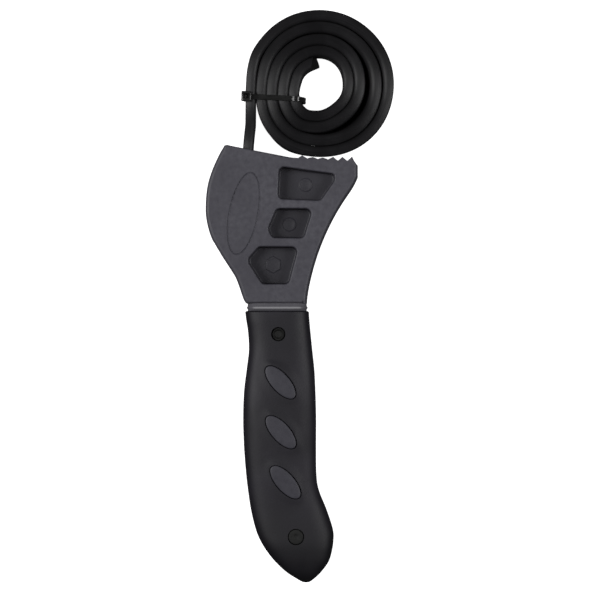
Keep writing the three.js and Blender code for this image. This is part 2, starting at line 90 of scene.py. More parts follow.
# part of a turn, how far the layers bulge out there (in if negative), and over what part of a turn
OUTER_BULGES = [(0.17, 0.45, 0.06), (0.35, -0.25, 0.05), (0.47, 0.2, 0.05), (0.6, 0.85, 0.1),
                (0.74, -0.4, 0.055), (0.86, 0.45, 0.06)]
INNER_BULGES = [(0.5, -0.75, 0.12), (0.67, -1.1, 0.075), (0.835, 0.9, 0.04)]
RIGHT_TUCK = [(0.45, -0.55, 0.2)]
# turns over which the layers go over to the inner bulges, to the tuck and to the lean
INNER_TURNS = (1.9, 2.1)
TUCK_TURNS = (1.05, 1.3)
LEAN_TURNS = (0.05, 0.2)
STRAP_CORNER = 0.7
STRAP_RIDGE = -0.1               # the strap's edges are highest here, as a share of half its thickness
STRAP_CROWN = 0.75               # how far they fall away from there towards the outside of the coil
STRAP_CROWN_POWER = 1.5
STRAP_INNER_FALL = 1.15          # and towards its inside, in a tighter bend
STRAP_INNER_POWER = 3.4
LAYER_SWELL = 0.32               # layers swell sideways until they touch
SWELL_POWER = 8                  # flatness of the swelling across the strap
OUTWARD_SWELL_TURNS = (1.0, 1.06)
INWARD_SWELL_TURNS = (0.04, 0.12)
LEAD_DROP_Y = (76, 98)           # the bare stretch comes down between these places
CUT_REACH = (2.2, -1.4)          # how far the cut end's top edge stands out, outside and inside
CUT_SLOPE = (2.3, 5.3)           # and how much further its bottom edge reaches
CUT_MARK = -10                   # the cut face lies here on the map across the strap
CUT_STRETCH = 0.08               # turns over which the strap eases into its cut end

ROOT_SLOT_PATH = [(-26.6, 69.5), (-26.3, 74.8), (-26.0, 79.0)]
ROOT_SLOT_THICKNESS = STRAP_THICKNESS + 0.7
ROOT_SLOT_GAP = 0.3              # above and below the strap's fixed end
SLOT_PATH = [(-9.5, 78.0), (-18.5, 60.0), (-50.0, 13.71)]
SLOT_GAP = 6.6
SLOT_DEPTH = 19.0

# y, left edge, right edge and half thickness of the grip's section, from collar to butt
GRIP_ROWS = [
    (-7.2, -28.1, 4.3, 11.4),
    (-12, -27.5, 4.6, 11.8),
    (-18, -26.6, 5.15, 11.8),
    (-27, -26.2, 6.05, 11.9),
    (-37, -27.35, 7.1, 12.4),
    (-48, -28.65, 7.65, 12.8),
    (-62, -29.1, 8.0, 13.0),
    (-77, -28.6, 7.95, 13.0),
    (-90, -27.55, 8.15, 12.7),
    (-98, -26.6, 9.4, 12.4),
    (-108, -25.1, 13.35, 12.3),
    (-118, -22.6, 16.55, 12.7),
    (-124, -20.0, 16.7, 12.9),
    (-129, -16.85, 15.9, 12.5),
    (-134, -12.8, 14.3, 11.5),
    (-139, -7.5, 10.7, 9.6),
    (-142.1, -2.9, 7.6, 7.2),
    (-144.0, 0.2, 5.3, 4.4),
    (-144.6, 1.8, 4.0, 2.4),
]
GRIP_POWER = 3.4

# ---- Curves and small maths ----


def spline(points, steps):
    """Points of a smooth curve through the given ones, with steps pieces between each two."""
    p = np.array(points, float)
    padded = np.vstack([p[:1], p, p[-1:]])
    out = []
    for i in range(len(p) - 1):
        a, b, c, d = padded[i:i + 4]
        for k in range(steps):
            t = k / steps
            out.append(0.5 * (2 * b + (c - a) * t + (2 * a - 5 * b + 4 * c - d) * t ** 2
                              + (3 * b - a - 3 * c + d) * t ** 3))
    out.append(p[-1])
    return np.array(out)


def straight(a, b, steps):
    """Points from a towards b, without b."""
    return [tuple(np.array(a, float) + (np.array(b, float) - np.array(a, float)) * k / steps)
            for k in range(steps)]


def even(points, gap):
    """The same curve with its points about gap apart in plan, and their distances along it."""
    steps = np.linalg.norm(np.diff(points[:, :2], axis=0), axis=1)
    run = np.concatenate([[0], np.cumsum(steps)])
    wanted = np.linspace(0, run[-1], max(2, int(round(run[-1] / gap))) + 1)
    return np.stack([np.interp(wanted, run, column) for column in points.T], 1), wanted


def smooth_step(value, low, high):
    t = np.clip((value - low) / (high - low), 0, 1)
    return t * t * (3 - 2 * t)


def directions(line):
    """Unit directions along a line in a plane, and to its left."""
    along = np.gradient(line, axis=0)
    along /= np.linalg.norm(along, axis=1)[:, None]
    return along, np.stack([-along[:, 1], along[:, 0]], 1)


def outward(loop):
    """Unit normals of a closed loop in plan, pointing out of it, lengthened at its corners."""
    before = np.roll(loop, 1, 0)
    after = np.roll(loop, -1, 0)
    first = loop - before
    second = after - loop
    first /= np.linalg.norm(first, axis=1)[:, None] + 1e-9
    second /= np.linalg.norm(second, axis=1)[:, None] + 1e-9
    turn = first + second
    turn /= np.linalg.norm(turn, axis=1)[:, None] + 1e-9
    normal = np.stack([turn[:, 1], -turn[:, 0]], 1)
    x, y = loop[:, 0], loop[:, 1]
    area = np.sum(x * np.roll(y, -1) - np.roll(x, -1) * y)
    stretch = 1 / np.clip(np.sum(turn * first, 1), 0.7, 1)
    return normal * stretch[:, None] * (1 if area > 0 else -1)


# ---- Mesh building ----

SHARP_EDGE = math.radians(40)


class Shell:
    """A mesh that grows ring by ring, in millimetres."""

    def __init__(self):
        self.points = []
        self.faces = []

    def ring(self, points):
        start = len(self.points)
        self.points.extend([tuple(p) for p in points])
        return list(range(start, len(self.points)))

    def loop(self, plan, z):
        return self.ring([(x, y, z) for x, y in plan])

    def bridge(self, one, other):
        for i, here in enumerate(one):
            j = (i + 1) % len(one)
            self.faces.append((here, one[j], other[j], other[i]))

    def stack(self, rings):
        for one, other in zip(rings, rings[1:]):
            self.bridge(one, other)

    def cap(self, ring):
        self.faces.append(tuple(ring))

    def closed(self, rings):
        """Joins the rings into one body with flat ends."""
        self.stack(rings)
        self.cap(rings[0])
        self.cap(rings[-1])

    def fan(self, ring):
        middle = np.mean([self.points[i] for i in ring], axis=0)
        centre = self.ring([middle])[0]
        for i, here in enumerate(ring):
            self.faces.append((here, ring[(i + 1) % len(ring)], centre))

    def mesh(self, name, fills=()):
        """The mesh in metres. Each fill is a list of rings: the first is the outside, the rest holes."""
        data = bpy.data.meshes.new(name)
        data.from_pydata([tuple(c * MM for c in p) for p in self.points], [], self.faces)
        bm = bmesh.new()
        bm.from_mesh(data)
        bm.verts.ensure_lookup_table()
        for rings in fills:
            edges = []
            for ring in rings:
                for i, here in enumerate(ring):
                    pair = (bm.verts[here], bm.verts[ring[(i + 1) % len(ring)]])
                    edges.append(bm.edges.get(pair) or bm.edges.new(pair))
            bmesh.ops.triangle_fill(bm, use_beauty=True, edges=edges)
        bmesh.ops.recalc_face_normals(bm, faces=bm.faces)
        bm.to_mesh(data)
        bm.free()
        return data


def piece(name, data, material=None):
    obj = bpy.data.objects.new(name, data)
    bpy.context.scene.collection.objects.link(obj)
    shade(obj)
    if material:
        data.materials.clear()
        data.materials.append(material)
    return obj


def shade(obj):
    """Smooth shading, except across sharp edges."""
    bm = bmesh.new()
    bm.from_mesh(obj.data)
    for face in bm.faces:
        face.smooth = True
    for edge in bm.edges:
        edge.smooth = len(edge.link_faces) == 2 and edge.calc_face_angle(0) < SHARP_EDGE
    bm.to_mesh(obj.data)
    bm.free()
    obj.data.update()


def combine(obj, others, operation):
    """Joins other meshes to obj, or cuts them out of it, and throws them away."""
    for other in others:
        modifier = obj.modifiers.new(operation.lower(), "BOOLEAN")
        modifier.operation = operation
        modifier.solver = "EXACT"
        modifier.object = other
    graph = bpy.context.evaluated_depsgraph_get()
    data = bpy.data.meshes.new_from_object(obj.evaluated_get(graph))
    obj.modifiers.clear()
    obj.data = data
    for other in others:
        bpy.data.objects.remove(other)
    shade(obj)


def even_normals(obj):
    """Keeps flat faces looking flat beside their rounded edges."""
    modifier = obj.modifiers.new("even_normals", "WEIGHTED_NORMAL")
    modifier.keep_sharp = True


# ---- Materials ----


class Nodes:
    """Short names for building one material's nodes.

    Inputs are given by name or number, each with a value or with another node's output.
    """

    def __init__(self, name):
        self.material = bpy.data.materials.new(name)
        self.material.use_nodes = True
        self.tree = self.material.node_tree

    def feed(self, node, inputs):
        for key, value in inputs.items():
            if isinstance(value, bpy.types.NodeSocket):
                self.tree.links.new(value, node.inputs[key])
            else:
                node.inputs[key].default_value = value

    def surface(self, inputs):
        self.feed(self.tree.nodes["Principled BSDF"], inputs)

    def add(self, kind, inputs, **settings):
        node = self.tree.nodes.new(kind)
        for key, value in settings.items():
            setattr(node, key, value)
        self.feed(node, inputs)
        return node.outputs

    def stretch(self, vector, scale):
        return self.add("ShaderNodeMapping", {"Vector": vector, "Scale": scale})["Vector"]

    def place(self, scale=(1, 1, 1)):
        """Object coordinates, stretched."""
        return self.stretch(self.add("ShaderNodeTexCoord", {})["Object"], scale)

    def noise(self, vector, scale, detail=3.0):
        return self.add("ShaderNodeTexNoise", {"Vector": vector, "Scale": scale, "Detail": detail})["Fac"]

    def ramp(self, value, low, high, out_low, out_high):
        inputs = {"Value": value, "From Min": low, "From Max": high, "To Min": out_low, "To Max": out_high}
        return self.add("ShaderNodeMapRange", inputs)["Result"]

    def mix(self, factor, one, other):
        one, other = ((*c, 1) if isinstance(c, tuple) else c for c in (one, other))
        return self.add("ShaderNodeMix", {0: factor, 6: one, 7: other}, data_type="RGBA")[2]

    def maths(self, operation, one, other=0.0):
        return self.add("ShaderNodeMath", {0: one, 1: other}, operation=operation)[0]

    def axis(self, vector, name):
        return self.add("ShaderNodeSeparateXYZ", {0: vector})[name]

    def above_middle(self, place):
        """Height above or below the tool's middle plane."""
        return self.maths("ABSOLUTE", self.maths("SUBTRACT", self.axis(place, "Z"), MID_Z * MM))

    def bump(self, height, distance):
        return self.add("ShaderNodeBump", {"Height": height, "Distance": distance})["Normal"]


PAINTED_SHADE_HEIGHTS = (MID_Z - 7, MID_Z - 0.5)    # painted shade in the recesses: darkest and no longer darker, above the middle
HIGHLIGHT_DEPTHS = (0.4, 0.05)                   # painted highlight starts and is full, this far below the crest's height


def moulded_nylon(name, colour, cloudy_colour, rough=(0.44, 0.56), painted_shade_share=None, crest_highlight=None):
    """Grained nylon.

    With a share for shade, what lies well below the faces has that share of the colour: painted shade in
    the
    recesses. With a pair of a colour and a height above the middle, what reaches that height takes that
    colour:
    a painted highlight on the crest.
    """
    n = Nodes(name)
    place = n.place()
    cloud = n.noise(place, 35, 4)
    fibres = n.noise(place, 420)
    grainy = n.noise(place, 1700, 2)
    blend = n.maths("MULTIPLY", n.ramp(cloud, 0.35, 0.65, 0.2, 1), n.ramp(fibres, 0.3, 0.7, 0.2, 1))
    tone = n.mix(blend, colour, cloudy_colour)
    # painted shade: the colour darkens below the faces, in the pockets
    if painted_shade_share:
        depth = n.ramp(n.above_middle(place), PAINTED_SHADE_HEIGHTS[0] * MM, PAINTED_SHADE_HEIGHTS[1] * MM, 1, 0)
        sunk = tuple(c * painted_shade_share for c in colour)
        tone = n.mix(depth, tone, sunk)
    # painted highlight: the colour lightens towards the crest's height
    if crest_highlight:
        highlight_colour, height = crest_highlight
        low, high = ((height - depth) * MM for depth in HIGHLIGHT_DEPTHS)
        tone = n.mix(n.ramp(n.above_middle(place), low, high, 0, 1), tone, highlight_colour)
    relief = n.maths("ADD", grainy, n.maths("MULTIPLY", fibres, 0.6))
    n.surface({"Base Color": tone, "Roughness": n.ramp(fibres, 0.3, 0.7, *rough), "IOR": 1.5,
               "Normal": n.bump(relief, 0.00004)})
    return n.material


BUTT_Y = (-95, -128)             # painted shade: the grip darkens between these places
BUTT_SHARE = 0.58                # down to this share of its colour


def soft_rubber(colour, bloom_colour):
    """Matt rubber with a faint bloom, and painted shade that darkens it towards the butt."""
    n = Nodes("soft_grip")
    place = n.place()
    cloud = n.noise(place, 28, 4)
    grainy = n.noise(place, 1300)
    smear = n.noise(n.place((1, 0.35, 1)), 70, 4)
    blend = n.maths("MULTIPLY", n.ramp(cloud, 0.42, 0.6, 0, 1), n.ramp(smear, 0.35, 0.65, 0.4, 1))
    # painted shade towards the butt
    butt = n.ramp(n.axis(place, "Y"), BUTT_Y[0] * MM, BUTT_Y[1] * MM, 0, 1)
    butt_shade_colour = tuple(c * BUTT_SHARE for c in colour)
    n.surface({"Base Color": n.mix(butt, n.mix(blend, colour, bloom_colour), butt_shade_colour),
               "Roughness": n.ramp(smear, 0.3, 0.7, 0.5, 0.64), "IOR": 1.5,
               "Normal": n.bump(grainy, 0.00005)})
    return n.material


def strap_rubber():
    """Rubber with fine lines along the strap. The map runs along it in X and across it in Y."""
    n = Nodes("strap_rubber")
    lay = n.add("ShaderNodeUVMap", {}, uv_map="along_strap")["UV"]
    lines = n.noise(n.stretch(lay, (30, 1600, 1)), 1.0)
    place = n.place()
    cloud = n.noise(place, 60, 4)
    grainy = n.noise(place, 1500)
    dusty = n.maths("MULTIPLY", n.ramp(cloud, 0.4, 0.7, 0, 1), n.ramp(lines, 0.35, 0.65, 0.4, 1))
    tone = n.mix(dusty, (0.0104, 0.01, 0.0112), (0.0225, 0.0218, 0.024))
    # the cut face is coloured near black
    cut_face_tone = n.ramp(n.axis(lay, "Y"), CUT_MARK * MM, 0.5 * CUT_MARK * MM, 1, 0)
    tangent = n.add("ShaderNodeTangent", {}, direction_type="UV_MAP", uv_map="along_strap")["Tangent"]
    n.surface({"Base Color": n.mix(cut_face_tone, tone, (0.0018, 0.0018, 0.0012)),
               "Roughness": n.ramp(lines, 0.3, 0.7, 0.36, 0.48), "IOR": 1.52,
               "Specular IOR Level": 0.24, "Anisotropic": 0.75, "Anisotropic Rotation": 0.25,
               "Tangent": tangent, "Normal": n.bump(n.maths("ADD", grainy, lines), 0.00004)})
    return n.material


def tie_nylon():
    n = Nodes("tie_nylon")
    flow = n.noise(n.place(), 260)
    n.surface({"Base Color": n.mix(flow, (0.012, 0.012, 0.012), (0.02, 0.02, 0.02)),
               "Roughness": n.ramp(flow, 0.3, 0.7, 0.16, 0.26), "Specular IOR Level": 0.8,
               "Normal": n.bump(flow, 0.00001)})
    return n.material


def ground_steel():
    n = Nodes("pin_steel")
    lines = n.noise(n.place((900, 900, 12)), 1)
    n.surface({"Metallic": 1, "Base Color": n.mix(lines, (0.34, 0.34, 0.35), (0.52, 0.52, 0.53)),
               "Roughness": n.ramp(lines, 0.3, 0.7, 0.28, 0.45), "Normal": n.bump(lines, 0.00001)})
    return n.material


def pale_floor():
    n = Nodes("pale_floor")
    mottle = n.noise(n.place(), 3, 2)
    n.surface({"Base Color": n.mix(mottle, (0.93, 0.93, 0.93), (0.95, 0.95, 0.95)), "Roughness": 0.6,
               "Emission Color": (1, 1, 1, 1), "Emission Strength": 1.0})
    return n.material


# the head's pocket floors get painted shade
HEAD_NYLON = moulded_nylon("head_nylon", (0.064, 0.061, 0.077), (0.104, 0.101, 0.121),
                           painted_shade_share=0.72)
# the collar's crest gets a painted highlight
COLLAR_NYLON = moulded_nylon("collar_nylon", (0.14, 0.136, 0.155), (0.18, 0.176, 0.195), (0.2, 0.3),
                             crest_highlight=((0.38, 0.375, 0.395), COLLAR_Z[1] - MID_Z))
PAD_NYLON = moulded_nylon("pad_nylon", (0.047, 0.045, 0.058), (0.063, 0.061, 0.077))
PIN_NYLON = moulded_nylon("pin_nylon", (0.005, 0.005, 0.0045), (0.008, 0.008, 0.0075), (0.62, 0.74))
SOFT_GRIP = soft_rubber((0.0098, 0.0085, 0.0138), (0.0228, 0.0198, 0.0292))
STRAP_RUBBER = strap_rubber()
TIE_NYLON = tie_nylon()
PIN_STEEL = ground_steel()

# ---- Head and neck ----

HEAD_LEFT_CURVE = [(-27.2, -3.6), (-28.8, -1.5), (-31.5, 6.2), (-33.3, 10.4), (-37.1, 16.4),
                   (-42.2, 24.4), (-45.45, 30.6), (-47.5, 38.0), (-48.05, 45.0), (-47.25, 54.9),
                   (-45.0, 63.0), (-41.4, 71.2), (-38.7, 75.9)]
HEAD_RIGHT_CURVE = [(29.0, 60.0), (26.4, 54.9), (21.0, 46.8), (16.3, 38.65), (12.45, 30.6),
                    (9.25, 22.5), (6.7, 14.35), (4.7, 6.2), (3.65, 0.0), (3.35, -3.6)]
HEAD_TOP_LINE = [(-38.4, 76.4), (-36.6, 76.75), (-1.2, 69.8)]
HEAD_RIGHT_CORNER = [(26.8, 69.2), (28.8, 66.9)]
HEAD_RIGHT_SIDE = [(29.1, 66.4), (29.1, 60.4)]
TOOTH_PEAKS = [(0.8, 71.1), (6.2, 70.2), (11.2, 70.0), (16.4, 70.35), (21.1, 70.35), (25.9, 70.55)]
VALLEY_BOTTOMS = [69.5, 69.2, 69.0, 68.5, 68.4]
VALLEY_FLAT = 0.45               # half width of the rounded bottom between two teeth
VALLEY_EASE = 0.25               # and how far it curves up to each side

# rounding of each side's edges, and how far it leans in from the parting line to each face
LEFT_CORNER_EDGE = (1.2, 0.3)
TOP_EDGE = (0.8, 0.5)
TOOTH_EDGE = (0.12, 0.0)
RIGHT_CORNER_EDGE = (0.8, 0.6)
SIDE_EDGE = (1.5, 0.6)
NECK_EDGE = (0.8, 0.6)
LEFT_EDGE = (1.8, 0.3)
# how far the sides draw in near the middle, and where, for the parting line
SEAM = [(0, -0.3), (0.08, -0.1), (0.08, 0.1), (0, 0.3)]


def tooth_points():
    """The toothed stretch from left to right: sharp peaks with narrow rounded valleys between."""
    points = []
    for i, bottom in enumerate(VALLEY_BOTTOMS):
        left, right = TOOTH_PEAKS[i:i + 2]
        middle = (left[0] + right[0]) / 2
        points += straight(left, (middle - VALLEY_FLAT, bottom + VALLEY_EASE), 4)
        points += [(middle + x * VALLEY_FLAT, bottom + VALLEY_EASE * x * x) for x in (-1, -0.4, 0.4)]
        points += straight((middle + VALLEY_FLAT, bottom + VALLEY_EASE), right, 4)
    points.append(TOOTH_PEAKS[-1])
    return points


def head_outline():
    """The head's outline, clockwise from its top left, with each point's edge rounding and draft."""
    top_left, top_start, top_end = HEAD_TOP_LINE
    stretches = [
        (straight(top_left, top_start, 3), LEFT_CORNER_EDGE),
        (straight(top_start, top_end, 30), TOP_EDGE),
        (straight(top_end, TOOTH_PEAKS[0], 2), TOOTH_EDGE),
        (tooth_points(), TOOTH_EDGE),
        (straight(*HEAD_RIGHT_CORNER, 3), RIGHT_CORNER_EDGE),
        (straight(*HEAD_RIGHT_SIDE, 8), SIDE_EDGE),
        (spline(HEAD_RIGHT_CURVE, 8).tolist()[:-1], SIDE_EDGE),
        (straight(HEAD_RIGHT_CURVE[-1], HEAD_LEFT_CURVE[0], 24), NECK_EDGE),
        (spline(HEAD_LEFT_CURVE, 6).tolist(), LEFT_EDGE),
    ]
    points = np.array([p for stretch, _ in stretches for p in stretch], float)
    edges = np.array([edge for stretch, edge in stretches for _ in stretch])
    for _ in range(6):
        spread = (np.roll(edges, 1, 0) + 2 * edges + np.roll(edges, -1, 0)) / 4
        edges = np.minimum(edges, spread)
    return points - outward(points) * SKIN, edges[:, 0], edges[:, 1]


POCKETS = {
    "top": {"corners": [(-10.9, 65.7), (17.2, 61.8), (17.2, 58.4), (10.2, 48.3), (-11.5, 49.0)],
            "boss": (2.6, 56.6), "boss_sides": 40, "boss_radius": 3.7},
    "middle": {"corners": [(-12.1, 44.5), (6.4, 44.4), (1.7, 29.4), (-14.4, 29.6), (-16.5, 34.3)],
               "boss": (-5.6, 36.6), "boss_sides": 40, "boss_radius": 3.7},
    "bottom": {"corners": [(-21.0, 25.3), (-0.9, 25.2), (-5.9, 6.3), (-19.4, 6.3), (-26.2, 17.1),
                           (-26.1, 19.5)],
               "boss": (-13.8, 16.2), "boss_sides": 6, "boss_radius": 4.7},
}
POCKET_CORNER = 2.8
POCKET_DEPTH = 10.5
POCKET_RIM = 0.75                # rounding where the pocket meets the face
POCKET_DRAFT = 0.25              # how far the wall leans in on its way down
POCKET_FOOT = 0.8                # rounding between wall and floor
BOSS_HEIGHT = 0.4
# how far in from the boss's edge, and the share of its height there
BOSS_PROFILE = [(0, 0), (0.2, 0.3), (0.5, 0.85), (0.9, 1.0), (1.4, 0.85), (1.9, 0.6)]
LABEL = {"centre": (-28.6, 41.8), "half": (20.85, 7.15), "lean": math.radians(79)}
# how far out from the label's outline, and the groove's depth there
LABEL_GROOVE = [(0.42, 0), (0.26, 0.28), (0, 0.4), (-0.26, 0.28), (-0.42, 0)]


def rounded(corners, radius, arc_steps=7, side_steps=6):
    """A closed outline whose corners are rounded by arcs, smaller ones where a side is short."""
    count = len(corners)
    arcs = []
    for i, corner in enumerate(corners):
        here = np.array(corner, float)
        before = np.array(corners[i - 1], float) - here
        after = np.array(corners[(i + 1) % count], float) - here
        short = min(np.linalg.norm(before), np.linalg.norm(after))
        before /= np.linalg.norm(before)
        after /= np.linalg.norm(after)
        half = math.acos(max(-1, min(1, float(before @ after)))) / 2
        reach = min(radius / math.tan(half), 0.45 * short)
        centre = here + (before + after) / np.linalg.norm(before + after) * reach / math.cos(half)
        start = here + before * reach - centre
        end = here + after * reach - centre
        spread = math.pi - 2 * half
        arcs.append([centre + (start * math.sin(spread * (1 - t)) + end * math.sin(spread * t))
                     / math.sin(spread) for t in np.linspace(0, 1, arc_steps)])
    points = []
    for i, arc in enumerate(arcs):
        points.extend(arc)
        points.extend(np.array(p) for p in straight(arc[-1], arcs[(i + 1) % count][0], side_steps)[1:])
    return np.array(points)


def ellipse(centre, half, lean, steps=96):
    angle = np.linspace(0, 2 * math.pi, steps, endpoint=False)
    x = half[0] * np.cos(angle)
    y = half[1] * np.sin(angle)
    return np.stack([centre[0] + x * math.cos(lean) - y * math.sin(lean),
                     centre[1] + x * math.sin(lean) + y * math.cos(lean)], 1)


def head_face(shell, outer, level, up, label):
    """Fills one face of the head inside the ring outer, with its pockets. up is 1 in front, -1 behind."""
    holes = []
    fills = []
    for pocket in POCKETS.values():
        plan = rounded(pocket["corners"], POCKET_CORNER)
        out = outward(plan)
        middle = (plan.max(0) + plan.min(0)) / 2
        ray = plan - middle
        ray /= np.linalg.norm(ray, axis=1)[:, None]
        rim = [shell.loop(plan + out * (POCKET_RIM * (1 - math.sin(a)) - SKIN),
                          level - up * POCKET_RIM * (1 - math.cos(a)))
               for a in np.linspace(0, math.pi / 2, 5)]
        floor_z = level - up * POCKET_DEPTH
        wall_height = POCKET_DEPTH - POCKET_RIM - POCKET_FOOT
        wall = [shell.loop(plan - ray * (POCKET_DRAFT * t), level - up * (POCKET_RIM + wall_height * t))
                for t in (0.05, 0.5, 1.0)]
        foot = [shell.loop(plan - ray * (POCKET_DRAFT + POCKET_FOOT * (1 - math.cos(a))),
                           floor_z + up * POCKET_FOOT * (1 - math.sin(a)))
                for a in np.linspace(0.25, math.pi / 2, 6)]
        shell.stack(rim + wall + foot)
        turn = np.linspace(0, 2 * math.pi, pocket["boss_sides"], endpoint=False) + math.pi / 6
        round_plan = np.stack([np.cos(turn), np.sin(turn)], 1)
        if pocket["boss_sides"] == 6:
            round_plan = rounded([tuple(p) for p in round_plan], 0.2, 5, 4)
        boss = [shell.loop(np.array(pocket["boss"]) + round_plan * (pocket["boss_radius"] - step),
                           floor_z + up * BOSS_HEIGHT * rise)
                for step, rise in BOSS_PROFILE]
        shell.stack(boss)
        shell.fan(boss[-1])
        fills.append([foot[-1], boss[0]])
        holes.append(rim[0])
    if label:
        rings = [shell.loop(ellipse(LABEL["centre"], (LABEL["half"][0] + d, LABEL["half"][1] + d),
                                    LABEL["lean"]), level - up * z)
                 for d, z in LABEL_GROOVE]
        shell.stack(rings)
        holes.append(rings[0])
        fills.append([rings[-1]])
    fills.append([outer, *holes])
    return fills


def head_mesh():
    shell = Shell()
    outline, fillets, draft = head_outline()
    out = outward(outline)

    def side_rings(face_z, up):
        rings = []
        for a in np.linspace(0, math.pi / 2, 6):
            inset = draft + fillets * (1 - math.cos(a))
            plan = outline - out * inset[:, None]
            heights = face_z - up * fillets * (1 - math.sin(a))
            rings.append(shell.ring([(x, y, z) for (x, y), z in zip(plan, heights)]))
        flat_margin = draft + 1.1 * fillets
        rings.append(shell.loop(outline - out * flat_margin[:, None], face_z))
        return rings

    back = side_rings(0.0, -1)
    seam = [shell.loop(outline - out * inset, MID_Z + z) for inset, z in SEAM]
    front = side_rings(HEAD_TOP, 1)
    shell.stack(back[::-1] + seam + front)
    fills = head_face(shell, back[-1], 0.0, -1, label=False)
    fills += head_face(shell, front[-1], HEAD_TOP, 1, label=True)
    return shell.mesh("head", fills)


COLLAR_X = (-27.1, 3.65)
COLLAR_CORNER = 4.5
# places along Y, and how far the bead draws in there
COLLAR_BEAD = [(-2.9, 1.7), (-3.6, 1.35), (-4.2, 0.95), (-4.8, 0.45), (-5.2, 0.12), (-5.5, 0),
               (-5.8, 0.1), (-6.3, 0.55), (-6.9, 1.3), (-7.15, 1.7), (-7.25, 3.6), (-8.8, 3.8)]
COLLAR_END_INSET = 0.5           # its two ends draw in no more than this where they are seen


def collar():
    """The rounded bead between neck and grip, with blunt ends."""
    shell = Shell()
    rings = []
    steps = 8
    corners = [(1, 1, 0), (0, 1, 1), (0, 0, 2), (1, 0, 3)]
    for y, inset in COLLAR_BEAD:
        ring = []
        in_sight = y > GRIP_ROWS[0][0]
        reach_x = COLLAR_CORNER - (min(inset, COLLAR_END_INSET) if in_sight else inset)
        reach_z = COLLAR_CORNER - inset
        for right, high, quarter in corners:
            x = COLLAR_X[right] + (-COLLAR_CORNER if right else COLLAR_CORNER)
            z = COLLAR_Z[high] + (-COLLAR_CORNER if high else COLLAR_CORNER)
            for k in range(steps + 1):
                angle = math.pi / 2 * (quarter + k / steps)
                ring.append((x + reach_x * math.cos(angle), y, z + reach_z * math.sin(angle)))
        rings.append(shell.ring(ring))
    shell.closed(rings)
    obj = piece("neck_bead", shell.mesh("neck_bead"), COLLAR_NYLON)
    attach(obj, TOOL)


def band_along(plan, thickness, low, high):
    """A plain band standing on edge along a line in plan, used as a cutter."""
    shell = Shell()
    points = np.array(plan, float)
    across = directions(points)[1] * thickness / 2
    rings = [shell.ring([(*(p + a), low), (*(p - a), low), (*(p - a), high), (*(p + a), high)])
             for p, a in zip(points, across)]
    shell.closed(rings)
    return piece("cutter", shell.mesh("cutter"))


def prism(plan, low, high):
    """A plain prism on a closed outline, used as a cutter."""
    shell = Shell()
    shell.closed([shell.loop(plan, z) for z in (low, high)])
    return piece("cutter", shell.mesh("cutter"))


def head():
    obj = piece("head_and_neck", head_mesh(), HEAD_NYLON)
    slot_low = MID_Z - SLOT_DEPTH / 2
    root_low = STRAP_BOTTOM_IN_HEAD - ROOT_SLOT_GAP
    root = band_along(ROOT_SLOT_PATH, ROOT_SLOT_THICKNESS, root_low,
                      root_low + STRAP_WIDTH + 2 * ROOT_SLOT_GAP)
    slot = band_along(spline(SLOT_PATH, 6), SLOT_GAP, slot_low, slot_low + SLOT_DEPTH)
    combine(obj, [root, slot], "DIFFERENCE")
    even_normals(obj)
    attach(obj, TOOL)
    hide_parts("head_frame")


# ---- Grip ----

GRIP_LINE = spline(GRIP_ROWS, 12)
PAD_LEAN = math.radians(-48)
PAD_HALF = (10.45, 4.65)
PAD_GAP = 0.3
PAD_PROUD = 0.1
PAD_CROWN = 0.12
PAD_FOOT = 9.4                   # the pads start this far from the middle plane
PAD_HOLE_FLOOR = 9.2
# share of the pad's half width, and how far its face has sunk there
PAD_PROFILE = [(0.15, 0), (0.4, 0), (0.65, 0), (0.82, 0), (0.9, 0.02), (0.95, 0.1), (0.98, 0.25),
               (1.0, 0.55)]
LIP_HEIGHT = 1.0
LIP_REACH = 4.6
LIP_FAR_SHARE = 0.35             # share of the swelling that is left on the pads' lower left
LIP_ROOM = 0.7                   # the skin between the lips lies this much lower
GRIP_TOP_EASE = 0.9
PIN_HOLE_FLOOR = 5.0             # the pins' holes go this deep below the front and the back
PAST_FACE = 2.0                  # cutters reach this far past them


def middle_of(node):
    low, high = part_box(node)
    return tuple((low[k] + high[k]) / 2 / MM for k in range(3))


PAD_SHIFT = np.array((-0.25, 0.3))    # from the middle of the CAD pad
PADS = {place: middle_of(f"grip_pad_{place}_front")[:2] + PAD_SHIFT
        for place in ("upper", "middle", "lower")}


def grip_at(y):
    """Centre, half width and half thickness of the grip at a height y."""
    order = GRIP_LINE[::-1]
    left = np.interp(y, order[:, 0], order[:, 1])
    right = np.interp(y, order[:, 0], order[:, 2])
    half = np.interp(y, order[:, 0], order[:, 3])
    return (left + right) / 2, (right - left) / 2, half


def grip_height(x, y):
    """Height of the grip's surface above its middle plane."""
    centre, half_width, half = grip_at(y)
    share = np.clip(np.abs((x - centre) / half_width), 0, 1)
    return half * (1 - share ** GRIP_POWER) ** (1 / GRIP_POWER)


def oval_ring(row, sides, inset=0.0):
    y, left, right, half = row
    angle = np.linspace(0, 2 * math.pi, sides, endpoint=False)
    across = np.sign(np.cos(angle)) * np.abs(np.cos(angle)) ** (2 / GRIP_POWER)
    up = np.sign(np.sin(angle)) * np.abs(np.sin(angle)) ** (2 / GRIP_POWER)
    half_width = (right - left) / 2 - SKIN - inset
    return np.stack([(left + right) / 2 + half_width * across, np.full(sides, y),
                     MID_Z + (half - LIP_ROOM - inset) * up], 1)


